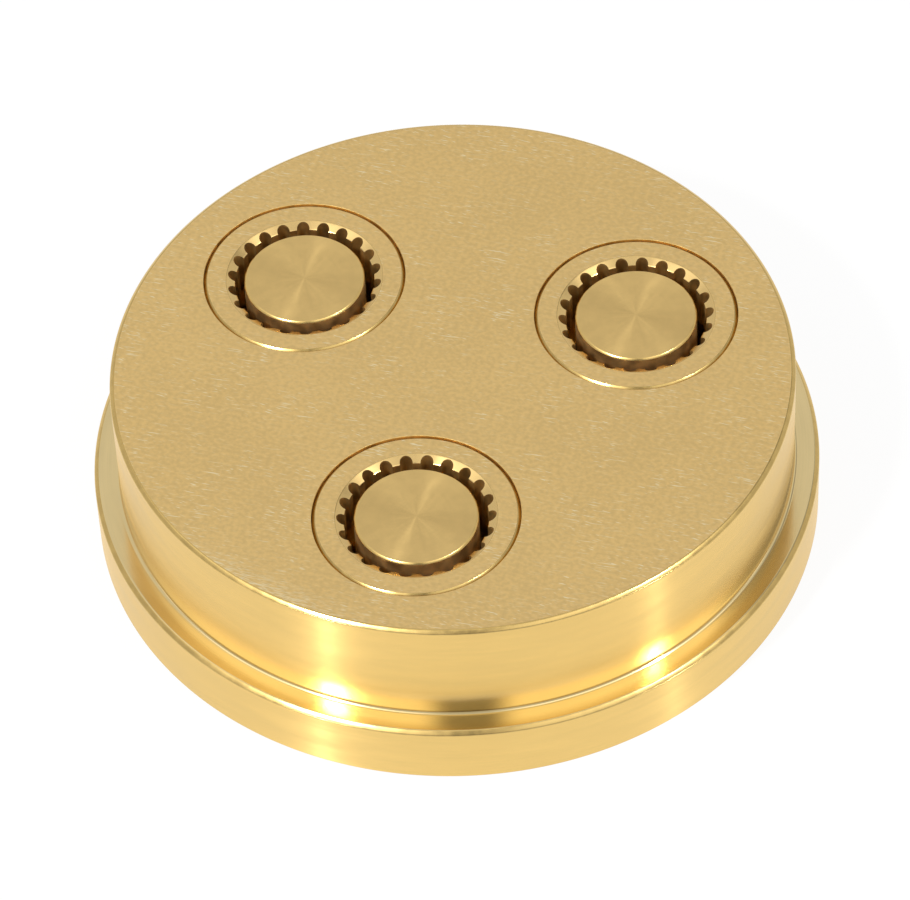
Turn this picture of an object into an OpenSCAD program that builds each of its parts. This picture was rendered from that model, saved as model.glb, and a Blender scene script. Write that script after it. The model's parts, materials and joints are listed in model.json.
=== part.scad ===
// Die for extruding ridged pasta tubes: a stepped round body with three pressed-in inserts.
// The back face lies on z = 0, the die's axis is Z and the pasta leaves through the front face.

/* [Die body] */
// Outside diameter of the flange that the ring nut clamps
flange_d = 59; // [57.5:0.5:66]
// Height of the flange
flange_h = 5.45; // [3:0.05:7.5]
// Outside diameter of the nose that stands through the ring nut
nose_d = 54.9; // [53.5:0.1:57]
// Height of the whole die, from the back face to the front face
die_h = 15.35; // [13.8:0.05:22]
// Chamfer round the front edge of the nose
nose_edge = 0.3; // [0.05:0.05:0.8]
// Chamfer round the front edge of the flange
flange_edge = 0.35; // [0.05:0.05:0.45]
// Chamfer round the back edge of the flange
back_edge = 0.1; // [0.05:0.05:0.8]
// Radius that the turning tool leaves in the corner below the nose
corner_r = 0.25; // [0.1:0.05:0.6]

/* [Insert bores] */
// Diameter of the circle that the inserts stand on
insert_pcd = 31.5; // [29:0.1:33.5]
// Depth of the feed cup left open behind each insert
feed_cup_h = 4.4; // [3:0.1:5]
// Chamfer round the mouth of each feed cup
cup_edge = 0.5; // [0.1:0.1:1]
// Chamfer round the front of each insert bore
bore_edge = 0.03; // [0.02:0.01:0.3]
// Clearance all round a bush in its bore and a core in its seat
fit_gap = 0.02; // [0.01:0.01:0.05]
// Turn of the front insert about its own axis
front_turn = 10.4; // [0:0.2:16]
// Turn of the right insert about its own axis
right_turn = 12.4; // [0:0.2:16]
// Turn of the left insert about its own axis
left_turn = 4.2; // [0:0.2:16]

/* [Nozzle bush] */
// Outside diameter of the bush where it shows in the front face
bush_d = 16.4; // [15.2:0.1:17.4]
// Chamfer round the front edge of the bush
bush_edge = 0.2; // [0.05:0.01:0.4]
// Diameter of the head that stops the bush in its bore
head_d = 19; // [18:0.1:20]
// Height of the head
head_h = 3.6; // [3.2:0.1:4.5]
// Chamfer round the back edge of the head
head_edge = 0.3; // [0.1:0.05:0.6]
// Diameter of the outlet between the tips of its ridges
outlet_d = 11.34; // [10:0.02:12]
// Length of the straight outlet
land_h = 3.8; // [2.5:0.1:4.6]
// Length of the cone that leads into the outlet
throat_h = 1.2; // [0.6:0.1:1.6]
// Width of that cone, from the outlet to the chamber
throat_w = 1; // [0.8:0.05:1.3]
// Number of grooves round the outlet
groove_count = 22; // [12:1:26]
// Width of each round-bottomed groove
groove_d = 1.03; // [0.7:0.01:1.2]
// Depth of each groove behind the tips of the ridges
groove_depth = 0.6; // [0.4:0.05:0.7]
// Width of the shallow countersink round the outlet
exit_w = 0.7; // [0.3:0.05:1.2]
// Depth of the countersink
exit_h = 0.4; // [0.1:0.05:0.8]

/* [Core pin] */
// Gap between core and outlet, which is the wall of the pasta tube
wall_gap = 0.76; // [0.4:0.02:1.2]
// Length of the straight head of the core
core_land_h = 4.8; // [3:0.1:5.8]
// Chamfer round the front edge of the core
core_edge = 0.14; // [0.02:0.02:0.4]
// How far the front of the core lies behind the front face
core_setback = 0.1; // [0:0.05:0.5]
// Diameter of the neck where the core stands on its legs
neck_d = 6; // [5:0.1:7]
// Outside diameter across the legs
legs_d = 15.6; // [15:0.1:16.8]
// Thickness of the legs
legs_h = 3; // [2:0.1:3.6]
// Number of legs
leg_count = 3; // [2:1:4]
// Diameter of the feed ports milled between the legs
port_d = 9; // [7:0.1:10]
// Ledge left on the legs round the neck
port_ledge = 0.3; // [0.1:0.05:0.8]

/* [Hidden] */
INSERTS = ["front", "right", "left"];

$fn = 96;
body_colour = [0.80, 0.67, 0.44];
bush_colour = [0.78, 0.64, 0.40];
core_colour = [0.84, 0.71, 0.47];

// How far a cut runs past the face that it opens
cut = 0.1;

front_angle = 270;
insert_turns = [front_turn, right_turn, left_turn];

flange_r = flange_d / 2;
nose_r = nose_d / 2;

// Heights at which the pieces of an insert seat on each other
shoulder_z = feed_cup_h + head_h;
seat_z = feed_cup_h + legs_h;
land_z = die_h - land_h;
throat_z = land_z - throat_h;

bush_r = bush_d / 2;
head_r = head_d / 2;
outlet_r = outlet_d / 2;
chamber_r = outlet_r + throat_w;
exit_r = outlet_r + exit_w;
groove_circle_r = outlet_r + groove_depth - groove_d / 2;

core_r = outlet_r - wall_gap;
core_front_z = die_h - core_setback;
neck_r = neck_d / 2;
legs_r = legs_d / 2;
port_circle_r = neck_r + port_ledge + port_d / 2;

// Half section of the turned blank, with the tool's radius left in the corner below the nose
module blank_section() {
    difference() {
        polygon([
            [0, 0],
            [flange_r - back_edge, 0],
            [flange_r, back_edge],
            [flange_r, flange_h - flange_edge],
            [flange_r - flange_edge, flange_h],
            [nose_r + corner_r, flange_h],
            [nose_r, flange_h + corner_r],
            [nose_r, die_h - nose_edge],
            [nose_r - nose_edge, die_h],
            [0, die_h]
        ]);
        translate([nose_r + corner_r, flange_h + corner_r])
            circle(corner_r);
    }
}

// Stepped bore for one insert: a wide cup from the back, a shoulder, and a narrower way to the front
module insert_bore() {
    cup_r = head_r + fit_gap;
    bore_r = bush_r + fit_gap;
    rotate_extrude()
        polygon([
            [0, -cut],
            [cup_r + cup_edge + cut, -cut],
            [cup_r, cup_edge],
            [cup_r, shoulder_z],
            [bore_r, shoulder_z],
            [bore_r, die_h - bore_edge],
            [bore_r + bore_edge + cut, die_h + cut],
            [0, die_h + cut]
        ]);
}

// Stands its children on one insert's axis, turned as that insert is
module at_insert(i) {
    angle = front_angle + i * 360 / len(INSERTS);
    translate([cos(angle), sin(angle), 0] * insert_pcd / 2)
        rotate(insert_turns[i])
            children();
}

// Round-bottomed grooves that give the tube its ridges, from the throat out through the front face
module outlet_grooves() {
    for (k = [0 : groove_count - 1])
        rotate(k * 360 / groove_count)
            translate([groove_circle_r, 0, throat_z])
                cylinder(d = groove_d, h = die_h + cut - throat_z);
}

module die_body() {
    color(body_colour)
        difference() {
            rotate_extrude()
                blank_section();
            for (i = [0 : len(INSERTS) - 1])
                at_insert(i)
                    insert_bore();
        }
}

module nozzle_bush() {
    seat_r = legs_r + fit_gap;
    color(bush_colour)
        difference() {
            rotate_extrude()
                polygon([
                    [seat_r, feed_cup_h],
                    [head_r - head_edge, feed_cup_h],
                    [head_r, feed_cup_h + head_edge],
                    [head_r, shoulder_z],
                    [bush_r, shoulder_z],
                    [bush_r, die_h - bush_edge],
                    [bush_r - bush_edge, die_h],
                    [exit_r, die_h],
                    [outlet_r, die_h - exit_h],
                    [outlet_r, land_z],
                    [chamber_r, throat_z],
                    [chamber_r, seat_z],
                    [seat_r, seat_z]
                ]);
            outlet_grooves();
        }
}

module core_pin() {
    color(core_colour)
        difference() {
            rotate_extrude()
                polygon([
                    [0, feed_cup_h],
                    [legs_r, feed_cup_h],
                    [legs_r, seat_z],
                    [neck_r, seat_z],
                    [core_r, core_front_z - core_land_h],
                    [core_r, core_front_z - core_edge],
                    [core_r - core_edge, core_front_z],
                    [0, core_front_z]
                ]);
            for (k = [0 : leg_count - 1])
                rotate((k + 0.5) * 360 / leg_count)
                    translate([port_circle_r, 0, feed_cup_h - cut])
                        cylinder(d = port_d, h = legs_h + 2 * cut);
        }
}

die_body();
for (i = [0 : len(INSERTS) - 1]) {
    at_insert(i) nozzle_bush();
    at_insert(i) core_pin();
}
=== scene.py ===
"""Looks of a brass die for ridged pasta tubes: turned body, grooved bushes and cores on a white table."""
import json
import math
from collections import namedtuple

import bmesh
import bpy
from mathutils import Matrix, Vector


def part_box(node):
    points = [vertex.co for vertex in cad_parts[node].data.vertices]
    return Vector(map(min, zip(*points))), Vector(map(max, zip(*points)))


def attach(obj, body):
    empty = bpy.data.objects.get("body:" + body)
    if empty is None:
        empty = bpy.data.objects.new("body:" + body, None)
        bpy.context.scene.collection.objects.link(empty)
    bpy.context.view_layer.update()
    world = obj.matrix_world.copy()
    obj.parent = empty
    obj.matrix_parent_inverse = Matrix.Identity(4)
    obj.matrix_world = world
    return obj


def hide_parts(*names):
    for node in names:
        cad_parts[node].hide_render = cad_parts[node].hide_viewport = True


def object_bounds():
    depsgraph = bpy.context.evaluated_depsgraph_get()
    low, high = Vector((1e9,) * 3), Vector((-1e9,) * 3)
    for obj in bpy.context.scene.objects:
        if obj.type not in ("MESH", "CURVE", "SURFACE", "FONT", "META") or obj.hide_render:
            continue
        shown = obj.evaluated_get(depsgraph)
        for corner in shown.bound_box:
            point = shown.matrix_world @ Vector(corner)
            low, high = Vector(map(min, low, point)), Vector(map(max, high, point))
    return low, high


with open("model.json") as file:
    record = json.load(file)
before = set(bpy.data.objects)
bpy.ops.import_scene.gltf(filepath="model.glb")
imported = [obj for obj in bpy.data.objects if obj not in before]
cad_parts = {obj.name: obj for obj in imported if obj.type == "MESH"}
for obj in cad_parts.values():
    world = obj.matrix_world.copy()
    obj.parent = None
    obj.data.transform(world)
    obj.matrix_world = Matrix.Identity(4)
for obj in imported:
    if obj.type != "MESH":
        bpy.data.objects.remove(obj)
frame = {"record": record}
cad_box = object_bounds()

MM = 0.001

# Body sizes that the frame gives
mounts = {mount["name"]: mount for mount in frame["record"]["mounts"]}
NOSE_R = mounts["nose"]["dims"]["r_mm"] * MM
FLANGE_R = mounts["flange_rim"]["dims"]["r_mm"] * MM
LEDGE_Z = mounts["clamp_ledge"]["pos_m"][2]
FRONT_Z = cad_box[1].z

# Turned edges of the body
NOSE_EDGE = 0.3 * MM
FLANGE_EDGE = 0.35 * MM
BACK_EDGE = 0.1 * MM
CORNER_R = 0.25 * MM
CUP_EDGE = 0.5 * MM
BORE_EDGE = 0.03 * MM
# Height of the front chamfers of nose and flange after rubbing, as a share of their width
EDGE_HEIGHT_SHARE = 0.8
# Roundness left on every turned edge, and on the rubbed rims of nose and flange
EDGE_SOFT = 0.03 * MM
RIM_SOFT = 0.08 * MM
# How far a spun edge reaches on to the flat beside it
FLAT_REACH = 0.15 * MM
# Distance from a corner at which a straight line is held straight, and the shortest line that is held
HOLD = 0.08 * MM
HELD_LINE = 4 * HOLD

# Inserts: where they stand and how each is turned, in degrees
DIE_AXIS = Vector((0, 0, 0))
INSERT_CIRCLE_R = 15.75 * MM
INSERT_ANGLES = {"front": 270, "right": 30, "left": 150}
INSERT_TURNS = {"front": 10.4, "right": 12.4, "left": 4.2}
FIT_GAP = 0.02 * MM

# Bush sizes, with the front edge as wide as rubbing has left it
BUSH_R = 8.2 * MM
BUSH_EDGE = 0.26 * MM
HEAD_R = 9.5 * MM
HEAD_EDGE = 0.3 * MM
HEAD_H = 3.6 * MM
OUTLET_R = 5.67 * MM
LAND_H = 3.8 * MM
THROAT_H = 1.2 * MM
THROAT_W = 1.0 * MM
EXIT_W = 0.7 * MM
EXIT_H = 0.4 * MM
GROOVES = 22
GROOVE_R = 0.515 * MM
GROOVE_DEPTH = 0.6 * MM

# Core sizes
WALL_GAP = 0.76 * MM
CORE_LAND_H = 4.8 * MM
CORE_EDGE = 0.14 * MM
NECK_R = 3.0 * MM
LEGS = 3
LEGS_R = 7.8 * MM
LEGS_H = 3.0 * MM
PORT_R = 4.5 * MM
PORT_LEDGE = 0.3 * MM

# Heights and radii that follow from these
CUP_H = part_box("nozzle_bush_front")[0].z
SHOULDER_Z = CUP_H + HEAD_H
SEAT_Z = CUP_H + LEGS_H
LAND_Z = FRONT_Z - LAND_H
THROAT_Z = LAND_Z - THROAT_H
CHAMBER_R = OUTLET_R + THROAT_W
EXIT_R = OUTLET_R + EXIT_W
GROOVE_CIRCLE_R = OUTLET_R + GROOVE_DEPTH - GROOVE_R
CORE_R = OUTLET_R - WALL_GAP
CORE_FRONT_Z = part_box("core_pin_front")[1].z
CORE_LAND_Z = CORE_FRONT_Z - CORE_LAND_H
PORT_CIRCLE_R = NECK_R + PORT_LEDGE + PORT_R
CUP_R = HEAD_R + FIT_GAP
BORE_R = BUSH_R + FIT_GAP
SEAT_R = LEGS_R + FIT_GAP

# Fineness of the spun meshes, and how far a cutter runs past the face that it opens
BODY_STEPS = 360
BORE_STEPS = 180
BUSH_STEPS = GROOVES * 12
CORE_STEPS = 192
CUTTER_STEPS = 48
EDGE_SEGMENTS = 2
ROUND_SEGMENTS = 4
CUT_OVER = 0.1 * MM
MERGE = 1e-8

# How faces are told apart: sharp corners, level faces, and edges that face the front
SHARP_ANGLE = math.radians(17)
FLAT = 0.999
LEVEL = 0.01 * MM
FACES_FRONT = 0.1

# Lathe finishes: colour under white light, roughness, stretch of the highlights and depth of the rings
Turning = namedtuple("Turning", "colour roughness stretch depth")
TURNED_COLOUR = (0.83, 0.578, 0.205)
LAPPED_COLOUR = (0.83, 0.58, 0.235)
WALL = Turning((0.88, 0.607, 0.208), roughness=0.25, stretch=1.0, depth=0.0005 * MM)
# The faced colour is paler than turned brass, a painted sheen of the bright reflection on the ledge; the
# back face shares it
FACED_WITH_SHEEN = Turning((0.87, 0.68, 0.34), roughness=0.13, stretch=0.5, depth=0.0003 * MM)
BUSH = Turning(TURNED_COLOUR, roughness=0.3, stretch=0.8, depth=0.0005 * MM)
CORE = Turning((0.81, 0.562, 0.215), roughness=0.25, stretch=0.9, depth=0.0005 * MM)
SUNK = Turning(LAPPED_COLOUR, roughness=0.22, stretch=0.3, depth=0.0003 * MM)
# Rings that the tool leaves: the fine feed and broader bands
FEED_PITCH = 0.09 * MM
BAND_PITCH = 1.4 * MM
ROUGHNESS_DRIFT = 0.015
# A highlight that lies across the cut is turned a quarter from the rings
ACROSS_RINGS = 0.25

# The nose is smoother near the ledge, and its colour is painted paler there as a sheen of the bright
# corner reflection: fully up to the first height, not at all from the second
CORNER_SHEEN_COLOUR = (0.91, 0.71, 0.34)
CORNER_FULL_Z = LEDGE_Z + 1 * MM
CORNER_END_Z = LEDGE_Z + 2.6 * MM
CORNER_ROUGHNESS_SHARE = 0.5

# Rubbed edges: the tone of painted shade that darkens each beside the turned colour
RIM_SHADED_TONE = 0.84
BUSH_SHADED_TONE = 0.72
CORE_SHADED_TONE = 0.98
WORN_DRIFT = 0.04
WORN_DEPTH = 0.0005 * MM

# Seams between the pieces are stained; the outlets are painted darker as shade in their grooves, and the
# sides of the cores are painted lighter as light in the gap
SEAM_COLOUR = (0.72, 0.49, 0.17)
CHANNEL_SHADE_COLOUR = (0.68, 0.475, 0.185)
STEM_LIT_COLOUR = (0.86, 0.6, 0.27)
STAIN_DEPTH = 0.01 * MM

# Lapped front face: its grain, and the scratches that cleaning has left, painted pale as glints of the
# lamps
Stroke = namedtuple("Stroke", "angle length width")
GRAIN = Stroke(angle=-7, length=0.4 * MM, width=0.32 * MM)
SCRATCHES = (
    Stroke(angle=-7, length=1.1 * MM, width=0.1 * MM),
    Stroke(angle=-14, length=0.7 * MM, width=0.1 * MM),
    Stroke(angle=-2, length=1.9 * MM, width=0.1 * MM),
)
SCRATCH_GLINT_COLOUR = (0.98, 0.86, 0.56)
LAPPED_DEPTH = 0.002 * MM
# Scratches grow commoner towards the rim, between these distances from it
RIM_BAND = 4 * MM
RIM_CLOSE = 0.5 * MM
# Side of the front face where scratches are painted denser and pale as lamp glints, and how far that
# reaches in from the rim
SHEEN_SIDE_ANGLE = -112
SHEEN_SIDE_REACH = 2.6 * MM

# Range in which most of a noise's values lie
NOISE_LOW = 0.3
NOISE_HIGH = 0.7

# Table: half its side, how far it lies below the back face, its colour and how much of it glows
TABLE_HALF = 3
TABLE_GAP = 0.02 * MM
PAPER_COLOUR = (0.9, 0.9, 0.9)
GLOW_SHARE = 0.9

# Lamps: how far from the die they hang, and the heights of the round lamps and of the strips, in degrees
LAMP_DISTANCE = 0.6
LAMP_ELEVATION = 49
STRIP_ELEVATION = 5

# Camera fitted to the photograph's frame
IMAGE_W = 910
FOCAL_PX = 5207
SENSOR_W = 36
CLIP_START = 0.01
CAMERA_AZIMUTH = 12.37
CAMERA_ELEVATION = 48.78
CAMERA_ROLL = 2.856
CAMERA_DISTANCE = 427.8 * MM
CAMERA_RIGHT = -0.105 * MM
CAMERA_UP = 3.447 * MM


def insert_axis(side):
    """Foot of an insert's axis on the back face."""
    angle = math.radians(INSERT_ANGLES[side])
    return Vector((math.cos(angle), math.sin(angle), 0)) * INSERT_CIRCLE_R


def spun(outline, steps, closed=False, roundings=None):
    """Spins an outline of (radius, height) points about Z, with soft corners and straight lines.

    The roundings give some corners, by their place in the outline, a radius of their own.
    """
    bm = bmesh.new()
    roundings = roundings or {}
    points = [bm.verts.new((radius, 0, height)) for radius, height in outline]
    for start, end in zip(points, points[1:]):
        bm.edges.new((start, end))
    if closed:
        bm.edges.new((points[-1], points[0]))
    corners = list(enumerate(points))
    for place, corner in corners if closed else corners[1:-1]:
        bmesh.ops.bevel(
            bm, geom=[corner], affect="VERTICES", offset_type="OFFSET", profile=0.5, material=-1,
            offset=roundings.get(place, EDGE_SOFT),
            segments=ROUND_SEGMENTS if place in roundings else EDGE_SEGMENTS,
        )
    for line in [edge for edge in bm.edges if edge.calc_length() > HELD_LINE]:
        for end in line.verts[:]:
            bmesh.utils.edge_split(line, end, HOLD / line.calc_length())
    bmesh.ops.spin(
        bm, geom=bm.verts[:] + bm.edges[:], cent=(0, 0, 0), axis=(0, 0, 1),
        angle=2 * math.pi, steps=steps, use_merge=True,
    )
    bmesh.ops.remove_doubles(bm, verts=bm.verts[:], dist=MERGE)
    bmesh.ops.recalc_face_normals(bm, faces=bm.faces[:])
    return bm


def pegs(count, circle_r, radius, low, high):
    """A ring of upright round cutters."""
    bm = bmesh.new()
    for k in range(count):
        angle = 2 * math.pi * k / count
        place = Vector((math.cos(angle), math.sin(angle), 0)) * circle_r
        place.z = (low + high) / 2
        bmesh.ops.create_cone(
            bm, cap_ends=True, segments=CUTTER_STEPS, radius1=radius, radius2=radius,
            depth=high - low, matrix=Matrix.Translation(place),
        )
    return bm


def to_object(bm, name):
    """Turns a mesh in the making into an object of the scene."""
    mesh = bpy.data.meshes.new(name)
    bm.to_mesh(mesh)
    bm.free()
    piece = bpy.data.objects.new(name, mesh)
    bpy.context.scene.collection.objects.link(piece)
    return piece


def cut_by(piece, cutter):
    """Cuts one object out of another and removes the cutter."""
    knife = piece.modifiers.new("cut", "BOOLEAN")
    knife.operation = "DIFFERENCE"
    knife.solver = "EXACT"
    knife.object = cutter
    graph = bpy.context.evaluated_depsgraph_get()
    cut_mesh = bpy.data.meshes.new_from_object(piece.evaluated_get(graph))
    piece.modifiers.clear()
    piece.data = cut_mesh
    bpy.data.objects.remove(cutter)


def stand_on_axis(piece, side):
    """Moves an insert's mesh on to its axis and turns it as it was pressed in."""
    turn = Matrix.Rotation(math.radians(INSERT_TURNS[side]), 4, "Z")
    piece.data.transform(Matrix.Translation(insert_axis(side)) @ turn)


def finish_mesh(piece, finishes, pick):
    """Gives each face its finish and shades the turned surfaces smooth between their edges."""
    mesh = piece.data
    mesh.materials.clear()
    names = list(finishes)
    for material in finishes.values():
        mesh.materials.append(material)
    for face in mesh.polygons:
        face.material_index = names.index(pick(face))
        face.use_smooth = True
    mesh.set_sharp_from_angle(angle=SHARP_ANGLE)


def place_piece(piece, node):
    """Lets a piece stand in for its solid."""
    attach(piece, "root")
    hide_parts(node)


def lies_at(face, height):
    """Whether a face is level and at this height."""
    return abs(face.normal.z) > FLAT and abs(face.center.z - height) < LEVEL


def distance_from(face, axis):
    """Distance of a face's middle from an upright axis."""
    return (Vector((face.center.x, face.center.y, 0)) - axis).length


def opaque(colour):
    """Colour with full cover, as a colour socket takes it."""
    return (*colour, 1)


class Nodes:
    """A tree of shader nodes, with short ways to add and join them."""

    def __init__(self, tree):
        self.nodes = tree.nodes
        self.links = tree.links

    def add(self, kind):
        return self.nodes.new(kind)

    def join(self, value, socket):
        """Links a node's output to a socket, or sets the socket to a plain value."""
        if isinstance(value, bpy.types.NodeSocket):
            self.links.new(value, socket)
        else:
            socket.default_value = value

    def operate(self, kind, operation, values):
        """Adds a number or vector operation and fills its first sockets."""
        node = self.add(kind)
        node.operation = operation
        for value, socket in zip(values, node.inputs):
            self.join(value, socket)
        return node.outputs

    def number(self, operation, *values):
        return self.operate("ShaderNodeMath", operation, values)["Value"]

    def vector(self, operation, *values):
        return self.operate("ShaderNodeVectorMath", operation, values)["Vector"]

    def measure(self, operation, *values):
        """Number that an operation finds from vectors."""
        return self.operate("ShaderNodeVectorMath", operation, values)["Value"]

    def scaled(self, where, factor):
        longer = self.vector("SCALE", where)
        longer.node.inputs["Scale"].default_value = factor
        return longer

    def part(self, where, axis):
        """One coordinate of a vector."""
        node = self.add("ShaderNodeSeparateXYZ")
        self.join(where, node.inputs["Vector"])
        return node.outputs[axis]

    def from_axis(self, where):
        """Distance from the upright axis."""
        return self.measure("LENGTH", self.vector("MULTIPLY", where, (1, 1, 0)))

    def spread(self, value, low, high, to_low=0, to_high=1, course="SMOOTHSTEP"):
        """Maps a range of a value on to another range."""
        node = self.add("ShaderNodeMapRange")
        node.interpolation_type = course
        self.join(value, node.inputs["Value"])
        ends = {"From Min": low, "From Max": high, "To Min": to_low, "To Max": to_high}
        for name, end in ends.items():
            node.inputs[name].default_value = end
        return node.outputs["Result"]

    def mean(self, first, second, share):
        """Mean of two values, weighted with the first one's share."""
        parts = [self.number("MULTIPLY", first, share), self.number("MULTIPLY", second, 1 - share)]
        return self.number("ADD", *parts)

    def mixed(self, factor, first, second):
        """Number between two others."""
        node = self.add("ShaderNodeMix")
        self.join(factor, node.inputs["Factor"])
        self.join(first, node.inputs["A"])
        self.join(second, node.inputs["B"])
        return node.outputs["Result"]


class Finish(Nodes):
    """One metal finish and its shader."""

    def __init__(self, name):
        self.material = bpy.data.materials.new(name)
        self.material.use_nodes = True
        super().__init__(self.material.node_tree)
        self.shader = self.nodes["Principled BSDF"]
        self.place = self.add("ShaderNodeTexCoord").outputs["Object"]
        self.give("Metallic", 1)

    def give(self, setting, value):
        """Sets or links one input of the shader."""
        self.join(value, self.shader.inputs[setting])

    def noise(self, where, scale, detail):
        node = self.add("ShaderNodeTexNoise")
        self.join(where, node.inputs["Vector"])
        node.inputs["Scale"].default_value = scale
        node.inputs["Detail"].default_value = detail
        return node.outputs["Fac"]

    def even(self, noise, to_low=0, to_high=1):
        """Maps the values that a noise usually has on to another range."""
        return self.spread(noise, NOISE_LOW, NOISE_HIGH, to_low, to_high)

    def along(self, stroke):
        """Coordinates in which a stroke is one unit long and one unit wide."""
        node = self.add("ShaderNodeMapping")
        node.vector_type = "TEXTURE"
        node.inputs["Rotation"].default_value = (0, 0, math.radians(stroke.angle))
        node.inputs["Scale"].default_value = (stroke.length, stroke.width, 1)
        self.join(self.place, node.inputs["Vector"])
        return node.outputs["Vector"]

    def blend(self, factor, first, second):
        """Colour between two others, each a colour or another node's colour."""
        node = self.add("ShaderNodeMix")
        node.data_type = "RGBA"
        self.join(factor, node.inputs["Factor"])
        sockets = [socket for socket in node.inputs if socket.type == "RGBA"]
        for socket, colour in zip(sockets, (first, second)):
            self.join(colour, socket)
        return [socket for socket in node.outputs if socket.type == "RGBA"][0]

    def tones(self, factor, colour, dark, light):
        """One colour between a darker and a lighter tone."""
        ends = [opaque(part * tone for part in colour) for tone in (dark, light)]
        return self.blend(factor, *ends)

    def relief(self, height, depth):
        node = self.add("ShaderNodeBump")
        node.inputs["Strength"].default_value = 1
        node.inputs["Distance"].default_value = depth
        self.join(height, node.inputs["Height"])
        self.give("Normal", node.outputs["Normal"])


def turned_brass(name, axis, turning, smooth_sheen_corner=False):
    """Brass from the lathe: fine rings about the axis stretch highlights across the cut."""
    finish = Finish(name)
    moved = finish.vector("SUBTRACT", finish.place, (axis.x, axis.y, 0))
    ring_way = finish.vector("NORMALIZE", finish.vector("CROSS_PRODUCT", (0, 0, 1), moved))
    finish.give("Tangent", ring_way)
    finish.give("Anisotropic", turning.stretch)
    finish.give("Anisotropic Rotation", ACROSS_RINGS)
    height = finish.part(moved, "Z")
    feed_way = finish.add("ShaderNodeCombineXYZ")
    finish.join(finish.number("ADD", finish.from_axis(moved), height), feed_way.inputs["Z"])

    def rings(pitch, changes):
        """Noise that changes once in each pitch across the cut, and a few times on the way round."""
        round_axis = finish.scaled(ring_way, changes)
        over_cut = finish.scaled(feed_way.outputs["Vector"], 1 / pitch)
        return finish.noise(finish.vector("ADD", round_axis, over_cut), scale=1, detail=2)

    feed = rings(FEED_PITCH, changes=2.0)
    bands = rings(BAND_PITCH, changes=4.0)
    tone = finish.even(finish.mean(feed, bands, share=0.3))
    colour = finish.tones(tone, turning.colour, dark=0.95, light=1.04)
    smoothest, roughest = turning.roughness - ROUGHNESS_DRIFT, turning.roughness + ROUGHNESS_DRIFT
    roughness = finish.even(bands, smoothest, roughest)
    # Near the ledge the nose is made smoother and its colour painted paler, a painted sheen of the corner
    # reflection
    if smooth_sheen_corner:
        share = finish.spread(height, CORNER_FULL_Z, CORNER_END_Z, CORNER_ROUGHNESS_SHARE, 1)
        roughness = finish.number("MULTIPLY", roughness, share)
        sheen_zone = finish.spread(height, CORNER_FULL_Z, CORNER_END_Z, 1, 0)
        colour = finish.blend(sheen_zone, colour, opaque(CORNER_SHEEN_COLOUR))
    finish.give("Base Color", colour)
    finish.give("Roughness", roughness)
    finish.relief(feed, turning.depth)
    return finish.material


def worn_shaded_brass(name, light):
    """Small edges that handling has rubbed smooth, their colour darkened by a given tone as painted shade.
    """
    finish = Finish(name)
    rub = finish.noise(finish.place, scale=1200, detail=3)
    colour = finish.tones(finish.even(rub), TURNED_COLOUR, light - WORN_DRIFT, light + WORN_DRIFT)
    finish.give("Base Color", colour)
    finish.give("Roughness", finish.even(rub, to_low=0.2, to_high=0.26))
    finish.relief(rub, WORN_DEPTH)
    return finish.material


def stained_and_shaded_brass(name, colour):
    """Brown, dull brass: stained in seams, painted darker as shade inside the outlets and lighter as light
    on the sides of the cores.
    """
    finish = Finish(name)
    stain = finish.noise(finish.place, scale=900, detail=3)
    finish.give("Base Color", finish.tones(finish.even(stain), colour, dark=0.85, light=1.15))
    finish.give("Roughness", finish.even(stain, to_low=0.45, to_high=0.55))
    finish.give("Specular Tint", opaque(colour))
    finish.relief(stain, STAIN_DEPTH)
    return finish.material


def lapped_brass(name):
    """Flat satin face, lapped after the inserts were pressed in, with scratches from cleaning that are
    painted pale as glints.
    """
    finish = Finish(name)
    grain = finish.noise(finish.along(GRAIN), scale=1, detail=1)
    cloud = finish.noise(finish.place, scale=160, detail=3)
    patches = finish.noise(finish.place, scale=260, detail=2)
    towards_sheen_side = finish.part(finish.along(Stroke(SHEEN_SIDE_ANGLE, length=1, width=1)), "X")
    sheen_zone = finish.spread(towards_sheen_side, NOSE_R - SHEEN_SIDE_REACH, NOSE_R)
    near_rim = finish.spread(finish.from_axis(finish.place), NOSE_R - RIM_BAND, NOSE_R - RIM_CLOSE)
    in_patches = finish.spread(patches, low=0.42, high=0.62, to_low=0.2)
    often = finish.number("MAXIMUM", near_rim, in_patches)
    scratches_with_glints = 0
    for stroke in SCRATCHES:
        marks = finish.noise(finish.along(stroke), scale=1, detail=0)
        sparse = finish.number("MULTIPLY", finish.spread(marks, low=0.7, high=0.82, to_high=0.85), often)
        # Dense pale scratches on the lamp side of the rim are painted glints
        dense = finish.number("MULTIPLY", finish.spread(marks, low=0.56, high=0.72, to_high=0.75), sheen_zone)
        scratches_with_glints = finish.number("MAXIMUM", scratches_with_glints, finish.number("MAXIMUM", sparse, dense))
    tone = finish.even(finish.mean(grain, cloud, share=0.7))
    plain = finish.tones(tone, LAPPED_COLOUR, dark=0.93, light=1.06)
    finish.give("Base Color", finish.blend(scratches_with_glints, plain, opaque(SCRATCH_GLINT_COLOUR)))
    finish.give("Roughness", finish.even(grain, to_low=0.37, to_high=0.43))
    finish.relief(finish.number("SUBTRACT", grain, scratches_with_glints), LAPPED_DEPTH)
    return finish.material


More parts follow.
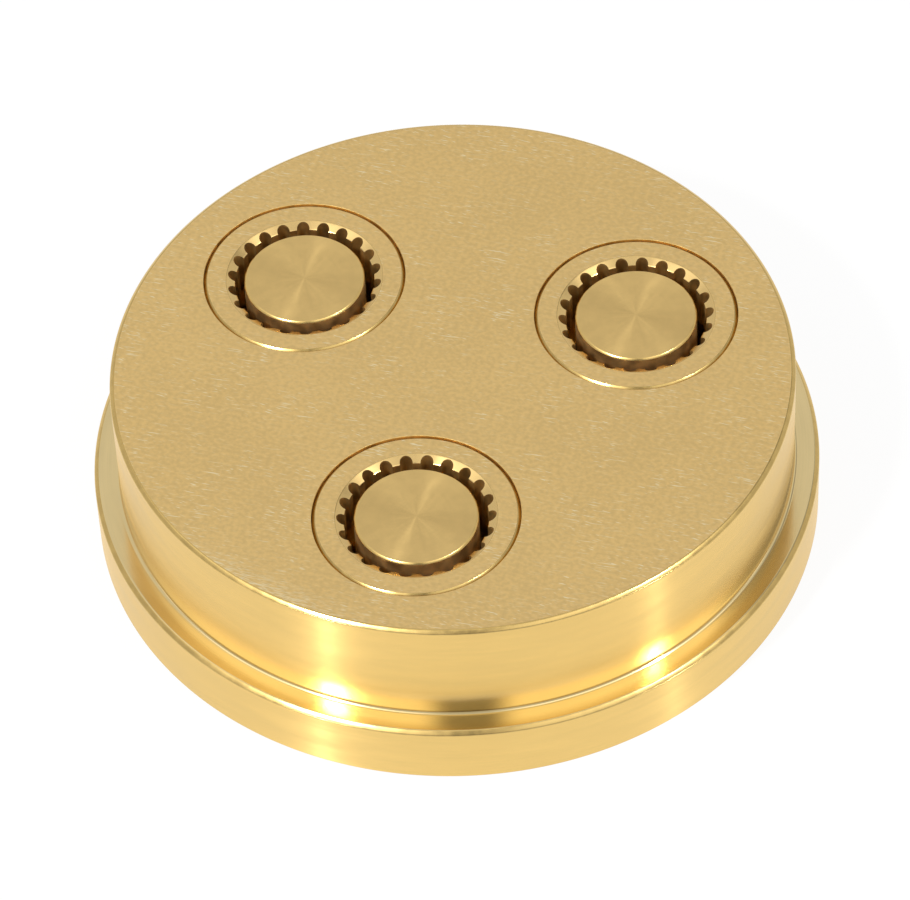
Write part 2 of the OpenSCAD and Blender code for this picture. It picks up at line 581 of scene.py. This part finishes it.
def bore_mesh(side):
    """Stepped bore of one insert, with a narrow rim of the flats at both its ends."""
    bore = spun(
        [
            (BORE_R + FLAT_REACH, FRONT_Z),
            (BORE_R, FRONT_Z),
            (BORE_R, SHOULDER_Z),
            (CUP_R, SHOULDER_Z),
            (CUP_R, CUP_EDGE),
            (CUP_R + CUP_EDGE, 0),
            (CUP_R + CUP_EDGE + FLAT_REACH, 0),
        ],
        BORE_STEPS,
        roundings={1: BORE_EDGE},
    )
    bmesh.ops.translate(bore, verts=bore.verts[:], vec=insert_axis(side))
    mesh = bpy.data.meshes.new("bore")
    bore.to_mesh(mesh)
    bore.free()
    return mesh


def make_body(finishes):
    """Body with its bores: the spun sides and bores are joined by flat front and back faces."""
    body = spun(
        [
            (NOSE_R - NOSE_EDGE - FLAT_REACH, FRONT_Z),
            (NOSE_R - NOSE_EDGE, FRONT_Z),
            (NOSE_R, FRONT_Z - NOSE_EDGE * EDGE_HEIGHT_SHARE),
            (NOSE_R, LEDGE_Z),
            (FLANGE_R - FLANGE_EDGE, LEDGE_Z),
            (FLANGE_R, LEDGE_Z - FLANGE_EDGE * EDGE_HEIGHT_SHARE),
            (FLANGE_R, BACK_EDGE),
            (FLANGE_R - BACK_EDGE, 0),
            (FLANGE_R - BACK_EDGE - FLAT_REACH, 0),
        ],
        BODY_STEPS,
        roundings={1: RIM_SOFT, 2: RIM_SOFT, 3: CORNER_R, 4: RIM_SOFT, 5: RIM_SOFT},
    )
    for side in INSERT_ANGLES:
        bore = bore_mesh(side)
        body.from_mesh(bore)
        bpy.data.meshes.remove(bore)
    for height in (FRONT_Z, 0):
        open_edges = [edge for edge in body.edges if edge.is_boundary]
        flat = [edge for edge in open_edges if abs(edge.verts[0].co.z - height) < MERGE]
        bmesh.ops.triangle_fill(body, edges=flat, use_beauty=True, normal=(0, 0, 1))
    bmesh.ops.recalc_face_normals(body, faces=body.faces[:])
    piece = to_object(body, "turned_die_body")

    def pick(face):
        if lies_at(face, FRONT_Z):
            return "lapped"
        for side in INSERT_ANGLES:
            if distance_from(face, insert_axis(side)) < CUP_R + CUP_EDGE:
                return "seam" if face.center.z > SHOULDER_Z + LEVEL else side
        on_ledge = distance_from(face, DIE_AXIS) < FLANGE_R - FLANGE_EDGE
        if lies_at(face, 0) or face.center.z < LEDGE_Z + CORNER_R and on_ledge:
            return "faced"
        if face.normal.z > FACES_FRONT:
            return "worn"
        return "nose" if face.center.z > LEDGE_Z else "flange"

    finish_mesh(piece, finishes, pick)
    place_piece(piece, "die_body")


def make_bush(side, finishes):
    """Bush of one insert, with its countersunk and grooved outlet."""
    blank = spun(
        [
            (SEAT_R, CUP_H),
            (HEAD_R - HEAD_EDGE, CUP_H),
            (HEAD_R, CUP_H + HEAD_EDGE),
            (HEAD_R, SHOULDER_Z),
            (BUSH_R, SHOULDER_Z),
            (BUSH_R, FRONT_Z - BUSH_EDGE),
            (BUSH_R - BUSH_EDGE, FRONT_Z),
            (EXIT_R, FRONT_Z),
            (OUTLET_R, FRONT_Z - EXIT_H),
            (OUTLET_R, LAND_Z),
            (CHAMBER_R, THROAT_Z),
            (CHAMBER_R, SEAT_Z),
            (SEAT_R, SEAT_Z),
        ],
        BUSH_STEPS,
        closed=True,
    )
    piece = to_object(blank, "grooved_bush_" + side)
    grooves = pegs(GROOVES, GROOVE_CIRCLE_R, GROOVE_R, THROAT_Z, FRONT_Z + CUT_OVER)
    cut_by(piece, to_object(grooves, "groove_cutter"))
    stand_on_axis(piece, side)

    def pick(face):
        if lies_at(face, FRONT_Z):
            return "lapped"
        reach = distance_from(face, insert_axis(side))
        if face.normal.z > FACES_FRONT and face.center.z > LAND_Z:
            return "sunk" if reach < EXIT_R + LEVEL else "worn"
        if reach < CHAMBER_R + LEVEL and face.center.z > SEAT_Z + LEVEL:
            return "channel"
        return "seam" if face.center.z > SHOULDER_Z + LEVEL else "turned"

    finish_mesh(piece, finishes, pick)
    place_piece(piece, "nozzle_bush_" + side)


def make_core(side, finishes):
    """Core of one insert, with feed ports between the legs that it stands on."""
    blank = spun(
        [
            (0, CUP_H),
            (LEGS_R, CUP_H),
            (LEGS_R, SEAT_Z),
            (NECK_R, SEAT_Z),
            (CORE_R, CORE_LAND_Z),
            (CORE_R, CORE_FRONT_Z - CORE_EDGE),
            (CORE_R - CORE_EDGE, CORE_FRONT_Z),
            (0, CORE_FRONT_Z),
        ],
        CORE_STEPS,
    )
    piece = to_object(blank, "turned_core_" + side)
    ports = pegs(LEGS, PORT_CIRCLE_R, PORT_R, CUP_H - CUT_OVER, SEAT_Z + CUT_OVER)
    between_legs = Matrix.Rotation(math.pi / LEGS, 3, "Z")
    bmesh.ops.rotate(ports, verts=ports.verts[:], cent=(0, 0, 0), matrix=between_legs)
    cut_by(piece, to_object(ports, "port_cutter"))
    stand_on_axis(piece, side)

    def pick(face):
        if face.center.z < SEAT_Z + LEVEL or lies_at(face, CORE_FRONT_Z):
            return "turned"
        return "worn" if face.normal.z > FACES_FRONT else "stem"

    finish_mesh(piece, finishes, pick)
    place_piece(piece, "core_pin_" + side)


def direction(azimuth, elevation):
    """Unit vector from the die, with azimuth counted from the camera's own side."""
    turn = math.radians(CAMERA_AZIMUTH + azimuth)
    rise = math.radians(elevation)
    return Vector((math.sin(turn) * math.cos(rise), -math.cos(turn) * math.cos(rise), math.sin(rise)))


def make_camera():
    """Camera that shows the die as the photograph does."""
    back = direction(0, CAMERA_ELEVATION)
    right = Vector((0, 0, 1)).cross(back).normalized()
    up = back.cross(right)
    place = right * CAMERA_RIGHT + up * CAMERA_UP + back * CAMERA_DISTANCE
    roll = math.radians(CAMERA_ROLL)
    side = right * math.cos(roll) - up * math.sin(roll)
    top = right * math.sin(roll) + up * math.cos(roll)
    camera = bpy.data.objects.new("camera", bpy.data.cameras.new("camera"))
    camera.data.sensor_width = SENSOR_W
    camera.data.lens = FOCAL_PX / IMAGE_W * SENSOR_W
    camera.data.clip_start = CLIP_START
    camera.matrix_world = Matrix.Translation(place) @ Matrix((side, top, back)).transposed().to_4x4()
    bpy.context.scene.collection.objects.link(camera)
    bpy.context.scene.camera = camera


def make_lamp(name, azimuth, elevation, width, height, power):
    """Round or long lamp that faces the die."""
    light = bpy.data.lights.new(name, "AREA")
    light.shape = "ELLIPSE"
    light.size = width
    light.size_y = height
    light.energy = power
    lamp = bpy.data.objects.new(name, light)
    lamp.location = direction(azimuth, elevation) * LAMP_DISTANCE
    lamp.rotation_mode = "QUATERNION"
    lamp.rotation_quaternion = direction(azimuth, elevation).to_track_quat("Z", "Y")
    bpy.context.scene.collection.objects.link(lamp)


def make_world():
    """Pale room, brighter in front than behind, with dim places for the photographer and a doorway."""
    world = bpy.data.worlds.new("studio")
    bpy.context.scene.world = world
    world.use_nodes = True
    room = Nodes(world.node_tree)
    way = room.add("ShaderNodeTexCoord").outputs["Generated"]

    def nearness(azimuth, elevation, far, near, low=0, high=1):
        """Goes from low to high as the way turns towards a place, between two angles from it."""
        closeness = room.measure("DOT_PRODUCT", way, direction(azimuth, elevation))
        return room.spread(closeness, math.cos(math.radians(far)), math.cos(math.radians(near)), low, high)

    def panel(azimuth, elevation, half_width, half_height, soft, level):
        """Dims an upright panel of the room to a share of its light."""
        side = direction(azimuth + 90, 0)
        facing = direction(azimuth, elevation)
        mask = nearness(azimuth, elevation=0, far=90, near=85)
        for across, half in ((side, half_width), (facing.cross(side), half_height)):
            off_centre = room.number("ABSOLUTE", room.measure("DOT_PRODUCT", way, across))
            inner, outer = math.sin(math.radians(half - soft)), math.sin(math.radians(half + soft))
            mask = room.number("MULTIPLY", mask, room.spread(off_centre, inner, outer, 1, 0))
        return room.mixed(mask, 1, level)

    ahead = nearness(azimuth=0, elevation=0, far=125, near=85)
    bright_ceiling = nearness(azimuth=0, elevation=90, far=56, near=44, low=0.6, high=1.42)
    dim_middle = nearness(azimuth=0, elevation=90, far=32, near=22, low=1, high=0.55)
    photographer = panel(azimuth=0, elevation=40, half_width=7.5, half_height=22, soft=4, level=0.2)
    doorway = panel(azimuth=130, elevation=50, half_width=18.6, half_height=9, soft=2, level=0.45)
    behind = 0.7
    light = room.mixed(ahead, behind, room.number("MULTIPLY", bright_ceiling, dim_middle))
    for share in (photographer, doorway):
        light = room.number("MULTIPLY", light, share)
    background = room.nodes["Background"]
    room.join(opaque((1, 1, 1)), background.inputs["Color"])
    room.join(light, background.inputs["Strength"])


def make_floor():
    """White table that keeps a faint shadow and lies dark under the die."""
    bm = bmesh.new()
    below = Matrix.Translation((0, 0, -TABLE_GAP))
    bmesh.ops.create_grid(bm, x_segments=1, y_segments=1, size=TABLE_HALF, matrix=below)
    floor = to_object(bm, "table")
    material = bpy.data.materials.new("white_table")
    material.use_nodes = True
    table = Nodes(material.node_tree)
    table.nodes.remove(table.nodes["Principled BSDF"])
    paper = table.add("ShaderNodeBsdfDiffuse")
    paper.inputs["Color"].default_value = opaque(PAPER_COLOUR)
    glow = table.add("ShaderNodeEmission")
    path = table.add("ShaderNodeLightPath")
    seen = path.outputs["Is Camera Ray"]
    for kind in ("Is Glossy Ray", "Is Transmission Ray"):
        seen = table.number("MAXIMUM", seen, path.outputs[kind])
    reach = table.measure("LENGTH", table.add("ShaderNodeTexCoord").outputs["Object"])
    uncovered = table.spread(reach, NOSE_R, FLANGE_R, to_high=GLOW_SHARE, course="LINEAR")
    both = table.add("ShaderNodeMixShader")
    table.join(table.number("MULTIPLY", seen, uncovered), both.inputs["Fac"])
    table.join(paper.outputs["BSDF"], both.inputs[1])
    table.join(glow.outputs["Emission"], both.inputs[2])
    table.join(both.outputs["Shader"], table.nodes["Material Output"].inputs["Surface"])
    floor.data.materials.append(material)


lapped = lapped_brass("lapped_brass")
rim_edge = worn_shaded_brass("worn_shaded_rim_brass", RIM_SHADED_TONE)
bush_edge = worn_shaded_brass("worn_shaded_bush_brass", BUSH_SHADED_TONE)
core_edge = worn_shaded_brass("worn_shaded_core_brass", CORE_SHADED_TONE)
seam = stained_and_shaded_brass("seam_brass", SEAM_COLOUR)
channel = stained_and_shaded_brass("channel_shaded_brass", CHANNEL_SHADE_COLOUR)
stem = stained_and_shaded_brass("stem_lit_brass", STEM_LIT_COLOUR)
body_finishes = {
    "nose": turned_brass("turned_nose_brass", DIE_AXIS, WALL, smooth_sheen_corner=True),
    "flange": turned_brass("turned_flange_brass", DIE_AXIS, WALL),
    "faced": turned_brass("faced_sheen_body_brass", DIE_AXIS, FACED_WITH_SHEEN),
    "lapped": lapped,
    "worn": rim_edge,
    "seam": seam,
}
for side in INSERT_ANGLES:
    axis = insert_axis(side)
    bush_finishes = {
        "turned": turned_brass("turned_bush_brass_" + side, axis, BUSH),
        "sunk": turned_brass("countersunk_brass_" + side, axis, SUNK),
        "lapped": lapped,
        "worn": bush_edge,
        "seam": seam,
        "channel": channel,
    }
    core_turned = turned_brass("turned_core_brass_" + side, axis, CORE)
    make_bush(side, bush_finishes)
    make_core(side, {"turned": core_turned, "worn": core_edge, "stem": stem})
    body_finishes[side] = bush_finishes["turned"]
make_body(body_finishes)
make_camera()
make_lamp("left_lamp", azimuth=-45, elevation=LAMP_ELEVATION, width=0.06, height=0.06, power=2.0)
make_lamp("right_lamp", azimuth=65, elevation=LAMP_ELEVATION, width=0.03, height=0.03, power=0.6)
make_lamp("left_strip", azimuth=-38, elevation=STRIP_ELEVATION, width=0.01, height=0.06, power=0.7)
make_lamp("right_strip", azimuth=54, elevation=STRIP_ELEVATION, width=0.01, height=0.06, power=0.45)
make_world()
make_floor()

bpy.context.scene.view_settings.view_transform = "Standard"
